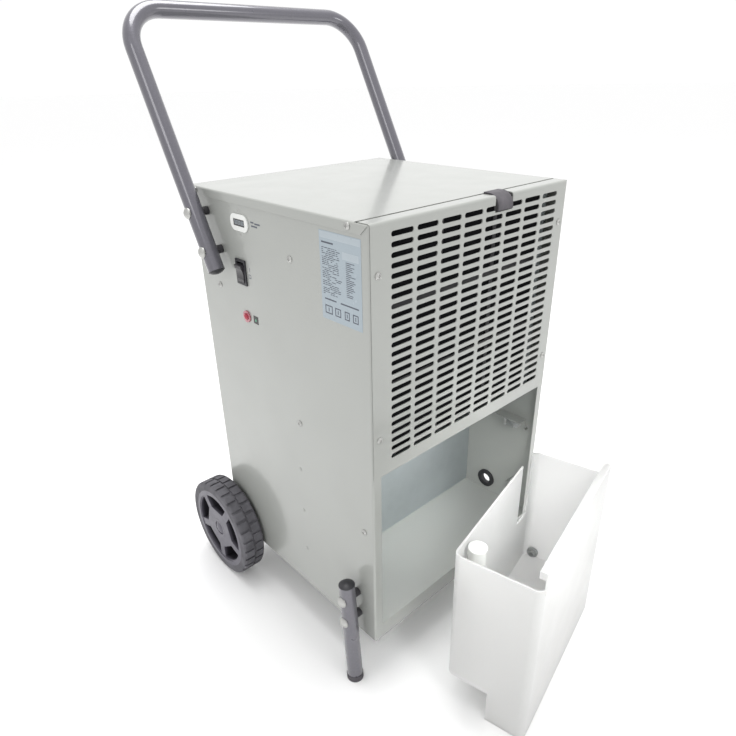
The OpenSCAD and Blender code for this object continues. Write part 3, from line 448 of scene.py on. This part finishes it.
def print_symbol():
    """A water drop on the symbol plate."""
    low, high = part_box("symbol_plate")
    y, z = (low.y + high.y) / 2, (low.z + high.z) / 2 - 1 * MM
    radius = 1.7 * MM
    outline = [Vector((0, y, z + 2.3 * radius))]
    for step in range(17):
        angle = math.radians(30 - step * 15)
        outline.append(Vector((0, y - radius * math.cos(angle), z + radius * math.sin(angle))))
    mesh = bmesh.new()
    for x in (low.x - 0.08 * MM, low.x + 0.01 * MM):
        for point in outline:
            mesh.verts.new((x, point.y, point.z))
    mesh.verts.ensure_lookup_table()
    count = len(outline)
    mesh.faces.new(mesh.verts[:count])
    mesh.faces.new(list(reversed(mesh.verts[count:])))
    for i in range(count):
        j = (i + 1) % count
        mesh.faces.new([mesh.verts[k] for k in (i, i + count, j + count, j)])
    bmesh.ops.recalc_face_normals(mesh, faces=mesh.faces)
    make_piece("symbol_print", mesh, "print_green", "cabinet")


def turned(mesh, profile, centre, axis, steps=20):
    """Adds a turned shape. Its profile lists (radius, height) along an axis from centre."""
    turn = Vector((0, 0, 1)).rotation_difference(Vector(axis)).to_matrix()
    rings = []
    for radius, height in profile:
        ring = []
        for i in range(steps):
            angle = 2 * math.pi * i / steps
            flat = radius * math.cos(angle), radius * math.sin(angle)
            point = Vector((*flat, height)) * MM
            ring.append(mesh.verts.new(Vector(centre) + turn @ point))
        rings.append(ring)
    for lower, upper in zip(rings, rings[1:]):
        for i in range(steps):
            j = (i + 1) % steps
            mesh.faces.new((lower[i], lower[j], upper[j], upper[i]))
    mesh.faces.new(rings[-1])
    mesh.faces.new(list(reversed(rings[0])))


def meter_screws():
    """Two small screws, above and below the hour meter."""
    low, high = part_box("hour_meter_case")
    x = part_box("side_panel_left")[0].x
    y = (low.y + high.y) / 2
    head = ((1.9, -0.3), (1.9, 0.2), (1.5, 0.6), (0.9, 0.75), (0.35, 0.6), (0.3, 0.3))
    mesh = bmesh.new()
    for z in (high.z + 5 * MM, low.z - 5 * MM):
        turned(mesh, head, (x, y, z), (-1, 0, 0))
    make_piece("meter_screws", mesh, "zinc", "cabinet")


def panel_rivets():
    """Low blind rivets, painted with the panels they hold."""
    lower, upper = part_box("side_panel_left")
    dome = ((3.1, -0.2), (3.1, 0.25), (2.6, 0.6), (1.6, 0.8), (0.7, 0.82), (0.6, 0.5))
    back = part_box("compartment_back_wall")[1].y
    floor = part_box("base_pan")[1].z
    for side, x, out in (("left", lower.x, -1), ("right", -lower.x, 1)):
        mesh = bmesh.new()
        for z in (0.05, 0.13, 0.21):
            turned(mesh, dome, (x, back + 6 * MM, floor + z), (out, 0, 0))
        make_piece(f"panel_rivets_{side}", mesh, "cabinet_paint", "cabinet")


# ---------- Floor, light and camera ----------


def floor_disc():
    """A wide white floor, half a millimetre under the feet."""
    mesh = bmesh.new()
    bmesh.ops.create_circle(mesh, cap_ends=True, segments=96, radius=40)
    data = bpy.data.meshes.new("floor")
    mesh.to_mesh(data)
    mesh.free()
    f = Finish("floor_paper", (0.975, 0.975, 0.975), 0.9)
    f.join(f.bump(f.noise(30, 2), 0.1 * MM, 0.2), "Normal")
    data.materials.append(f.material)
    floor = bpy.data.objects.new("floor", data)
    floor.location.z = -0.5 * MM
    bpy.context.scene.collection.objects.link(floor)


def area_light(name, place, target, size, power, spread=180, gloss_only=False):
    """A round lamp that the camera doesn't see. One that is gloss_only just adds highlights."""
    lamp = bpy.data.lights.new(name, "AREA")
    lamp.shape = "DISK"
    lamp.size = size
    lamp.energy = power
    lamp.spread = math.radians(spread)
    made = bpy.data.objects.new(name, lamp)
    made.location = place
    made.rotation_euler = (Vector(target) - Vector(place)).to_track_quat("-Z", "Y").to_euler()
    made.visible_camera = False
    made.visible_diffuse = not gloss_only
    bpy.context.scene.collection.objects.link(made)


def lights():
    """An even white surround, soft lamps above and in front, and two for the compartment."""
    world = bpy.data.worlds.new("studio")
    world.use_nodes = True
    background = world.node_tree.nodes["Background"]
    background.inputs["Color"].default_value = (1, 1, 1, 1)
    background.inputs["Strength"].default_value = 1.02
    bpy.context.scene.world = world
    middle = (0, 0, 0.4)
    area_light("top_light", (0.3, 0.4, 3.2), middle, 2.2, 70)
    area_light("front_light", (1.4, -2.6, 1.4), (0, 0.2, 0.8), 0.8, 6)
    area_light("arm_highlight", (-1.8, -0.7, 2.3), (0, 0.2, 0.8), 1.0, 6, gloss_only=True)
    area_light("compartment_light", (-0.14, -0.5, 0.62), (0.06, -0.1, 0.14), 0.2, 0.3, 50)
    area_light("compartment_fill", (-0.05, -0.08, 0.36), (0, -0.08, 0.1), 0.12, 0.24, 140)
    bpy.context.scene.view_settings.view_transform = "Standard"


def camera():
    """A camera at the photograph's angle, given by its right, up and backward directions."""
    right = Vector((0.73568, -0.67708, -0.01833))
    up = Vector((0.31030, 0.31285, 0.89769))
    back = Vector((-0.60208, -0.66609, 0.44025))
    lens = bpy.data.cameras.new("camera")
    lens.lens = 29.55
    lens.sensor_width = 36
    made = bpy.data.objects.new("camera", lens)
    turn = Matrix((right, up, back)).transposed()
    made.matrix_world = Matrix.Translation((-0.64008, -0.62747, 0.87629)) @ turn.to_4x4()
    bpy.context.scene.collection.objects.link(made)
    bpy.context.scene.camera = made


paint_cad_nodes()
print_label()
print_panel_marks()
print_meter_digits()
print_symbol()
meter_screws()
panel_rivets()
floor_disc()
lights()
camera()
